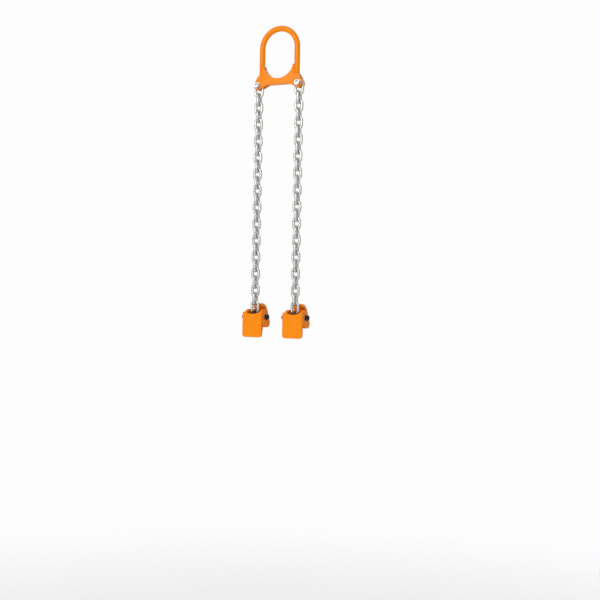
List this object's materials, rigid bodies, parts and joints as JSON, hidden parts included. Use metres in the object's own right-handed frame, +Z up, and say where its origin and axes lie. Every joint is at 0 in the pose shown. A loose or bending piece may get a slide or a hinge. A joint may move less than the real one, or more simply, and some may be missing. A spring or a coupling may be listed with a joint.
{
  "type": "two-leg chain sling with plate lifting clamps",
  "caption": "Oval master ring with a welded web and two clevis lugs, each carrying a round-link chain leg that ends in a cam clamp for gripping the top edge of a plate or rim.",
  "frame": {"origin": "inner crown of the master ring, where the crane hook bears", "axes": "+X to the right along the two lugs, +Y from the jaw plates toward the back, +Z up along the hanging chains"},
  "size_m": [0.209, 0.0699, 0.8849],
  "materials": {
    "orange_paint": "gloss powder coat",
    "zinc_chain": "bright zinc plate",
    "zinc_plate": "bright zinc plate",
    "black_steel": "black oxide"
  },
  "bodies": {
    "ring_assembly": {"master_ring": "orange_paint", "front_web_plate": "orange_paint", "back_web_plate": "orange_paint", "centre_web": "orange_paint", "lug_bolts": "zinc_plate", "lug_nuts": "zinc_plate", "lug_washers": "zinc_plate"},
    "left_top_link": {"left_top_link": "zinc_chain"},
    "left_links_1": {"left_links_1": "zinc_chain"},
    "left_links_2": {"left_links_2": "zinc_chain"},
    "left_links_3": {"left_links_3": "zinc_chain"},
    "left_links_4": {"left_links_4": "zinc_chain"},
    "left_links_5": {"left_links_5": "zinc_chain"},
    "left_links_6": {"left_links_6": "zinc_chain"},
    "left_links_7": {"left_links_7": "zinc_chain"},
    "left_links_8": {"left_links_8": "zinc_chain"},
    "left_links_9": {"left_links_9": "zinc_chain"},
    "left_links_10": {"left_links_10": "zinc_chain"},
    "left_links_11": {"left_links_11": "zinc_chain"},
    "left_links_12": {"left_links_12": "zinc_chain"},
    "left_links_13": {"left_links_13": "zinc_chain"},
    "left_lever": {"left_cam_lever": "orange_paint"},
    "left_clamp": {"left_jaw_plate": "orange_paint", "left_head_cheek": "orange_paint", "left_nut_cheek": "orange_paint", "left_pivot_bolt": "black_steel", "left_pivot_nut": "black_steel", "left_pivot_washers": "zinc_plate", "left_pivot_spacers": "zinc_plate", "left_stop_pin": "orange_paint"},
    "right_top_link": {"right_top_link": "zinc_chain"},
    "right_links_1": {"right_links_1": "zinc_chain"},
    "right_links_2": {"right_links_2": "zinc_chain"},
    "right_links_3": {"right_links_3": "zinc_chain"},
    "right_links_4": {"right_links_4": "zinc_chain"},
    "right_links_5": {"right_links_5": "zinc_chain"},
    "right_links_6": {"right_links_6": "zinc_chain"},
    "right_links_7": {"right_links_7": "zinc_chain"},
    "right_links_8": {"right_links_8": "zinc_chain"},
    "right_links_9": {"right_links_9": "zinc_chain"},
    "right_links_10": {"right_links_10": "zinc_chain"},
    "right_links_11": {"right_links_11": "zinc_chain"},
    "right_links_12": {"right_links_12": "zinc_chain"},
    "right_links_13": {"right_links_13": "zinc_chain"},
    "right_lever": {"right_cam_lever": "orange_paint"},
    "right_clamp": {"right_jaw_plate": "orange_paint", "right_head_cheek": "orange_paint", "right_nut_cheek": "orange_paint", "right_pivot_bolt": "black_steel", "right_pivot_nut": "black_steel", "right_pivot_washers": "zinc_plate", "right_pivot_spacers": "zinc_plate", "right_stop_pin": "orange_paint"}
  },
  "joints": [
    {"name": "left_lever_eye", "type": "hinge", "parent": "left_links_13", "child": "left_lever", "pos_m": [-0.063, 0, -0.7989], "axis": [1, 0, 0], "range_deg": [-50, 10.5]},
    {"name": "left_jaw_pivot", "type": "hinge", "parent": "left_lever", "child": "left_clamp", "pos_m": [-0.063, 0.011, -0.8109], "axis": [-1, 0, 0], "range_deg": [-27, 10.5]},
    {"name": "right_lever_eye", "type": "hinge", "parent": "right_links_13", "child": "right_lever", "pos_m": [0.063, 0, -0.7989], "axis": [1, 0, 0], "range_deg": [-50, 10.5]},
    {"name": "right_jaw_pivot", "type": "hinge", "parent": "right_lever", "child": "right_clamp", "pos_m": [0.063, 0.011, -0.8109], "axis": [-1, 0, 0], "range_deg": [-27, 10.5]},
    {"name": "left_top_link_swing", "type": "hinge", "parent": "ring_assembly", "child": "left_top_link", "pos_m": [-0.063, 0, -0.151], "axis": [0, 1, 0], "range_deg": [-3, 35]},
    {"name": "left_links_1_bend", "type": "hinge", "parent": "left_top_link", "child": "left_links_1", "pos_m": [-0.063, 0, -0.1827], "axis": [1, 0, 0], "range_deg": [-50, 50]},
    {"name": "left_links_2_swing", "type": "hinge", "parent": "left_links_1", "child": "left_links_2", "pos_m": [-0.063, 0, -0.2218], "axis": [0, -1, 0], "range_deg": [-35, 3.5]},
    {"name": "left_links_3_bend", "type": "hinge", "parent": "left_links_2", "child": "left_links_3", "pos_m": [-0.063, 0, -0.2775], "axis": [-1, 0, 0], "range_deg": [-50, 50]},
    {"name": "left_links_4_swing", "type": "hinge", "parent": "left_links_3", "child": "left_links_4", "pos_m": [-0.063, 0, -0.3166], "axis": [0, 1, 0], "range_deg": [-4, 35]},
    {"name": "left_links_5_bend", "type": "hinge", "parent": "left_links_4", "child": "left_links_5", "pos_m": [-0.063, 0, -0.3723], "axis": [1, 0, 0], "range_deg": [-50, 50]},
    {"name": "left_links_6_swing", "type": "hinge", "parent": "left_links_5", "child": "left_links_6", "pos_m": [-0.063, 0, -0.4114], "axis": [0, -1, 0], "range_deg": [-35, 5]},
    {"name": "left_links_7_bend", "type": "hinge", "parent": "left_links_6", "child": "left_links_7", "pos_m": [-0.063, 0, -0.4671], "axis": [-1, 0, 0], "range_deg": [-50, 50]},
    {"name": "left_links_8_swing", "type": "hinge", "parent": "left_links_7", "child": "left_links_8", "pos_m": [-0.063, 0, -0.5062], "axis": [0, 1, 0], "range_deg": [-7, 35]},
    {"name": "left_links_9_bend", "type": "hinge", "parent": "left_links_8", "child": "left_links_9", "pos_m": [-0.063, 0, -0.5619], "axis": [1, 0, 0], "range_deg": [-50, 50]},
    {"name": "left_links_10_swing", "type": "hinge", "parent": "left_links_9", "child": "left_links_10", "pos_m": [-0.063, 0, -0.601], "axis": [0, -1, 0], "range_deg": [-35, 10]},
    {"name": "left_links_11_bend", "type": "hinge", "parent": "left_links_10", "child": "left_links_11", "pos_m": [-0.063, 0, -0.6567], "axis": [-1, 0, 0], "range_deg": [-50, 50]},
    {"name": "left_links_12_swing", "type": "hinge", "parent": "left_links_11", "child": "left_links_12", "pos_m": [-0.063, 0, -0.6958], "axis": [0, 1, 0], "range_deg": [-18, 35]},
    {"name": "left_links_13_bend", "type": "hinge", "parent": "left_links_12", "child": "left_links_13", "pos_m": [-0.063, 0, -0.7515], "axis": [1, 0, 0], "range_deg": [-50, 50]},
    {"name": "right_top_link_swing", "type": "hinge", "parent": "ring_assembly", "child": "right_top_link", "pos_m": [0.063, 0, -0.151], "axis": [0, -1, 0], "range_deg": [-3, 35]},
    {"name": "right_links_1_bend", "type": "hinge", "parent": "right_top_link", "child": "right_links_1", "pos_m": [0.063, 0, -0.1827], "axis": [1, 0, 0], "range_deg": [-50, 50]},
    {"name": "right_links_2_swing", "type": "hinge", "parent": "right_links_1", "child": "right_links_2", "pos_m": [0.063, 0, -0.2218], "axis": [0, 1, 0], "range_deg": [-35, 3.5]},
    {"name": "right_links_3_bend", "type": "hinge", "parent": "right_links_2", "child": "right_links_3", "pos_m": [0.063, 0, -0.2775], "axis": [-1, 0, 0], "range_deg": [-50, 50]},
    {"name": "right_links_4_swing", "type": "hinge", "parent": "right_links_3", "child": "right_links_4", "pos_m": [0.063, 0, -0.3166], "axis": [0, -1, 0], "range_deg": [-4, 35]},
    {"name": "right_links_5_bend", "type": "hinge", "parent": "right_links_4", "child": "right_links_5", "pos_m": [0.063, 0, -0.3723], "axis": [1, 0, 0], "range_deg": [-50, 50]},
    {"name": "right_links_6_swing", "type": "hinge", "parent": "right_links_5", "child": "right_links_6", "pos_m": [0.063, 0, -0.4114], "axis": [0, 1, 0], "range_deg": [-35, 5]},
    {"name": "right_links_7_bend", "type": "hinge", "parent": "right_links_6", "child": "right_links_7", "pos_m": [0.063, 0, -0.4671], "axis": [-1, 0, 0], "range_deg": [-50, 50]},
    {"name": "right_links_8_swing", "type": "hinge", "parent": "right_links_7", "child": "right_links_8", "pos_m": [0.063, 0, -0.5062], "axis": [0, -1, 0], "range_deg": [-7, 35]},
    {"name": "right_links_9_bend", "type": "hinge", "parent": "right_links_8", "child": "right_links_9", "pos_m": [0.063, 0, -0.5619], "axis": [1, 0, 0], "range_deg": [-50, 50]},
    {"name": "right_links_10_swing", "type": "hinge", "parent": "right_links_9", "child": "right_links_10", "pos_m": [0.063, 0, -0.601], "axis": [0, 1, 0], "range_deg": [-35, 10]},
    {"name": "right_links_11_bend", "type": "hinge", "parent": "right_links_10", "child": "right_links_11", "pos_m": [0.063, 0, -0.6567], "axis": [-1, 0, 0], "range_deg": [-50, 50]},
    {"name": "right_links_12_swing", "type": "hinge", "parent": "right_links_11", "child": "right_links_12", "pos_m": [0.063, 0, -0.6958], "axis": [0, -1, 0], "range_deg": [-18, 35]},
    {"name": "right_links_13_bend", "type": "hinge", "parent": "right_links_12", "child": "right_links_13", "pos_m": [0.063, 0, -0.7515], "axis": [1, 0, 0], "range_deg": [-50, 50]}
  ]
}
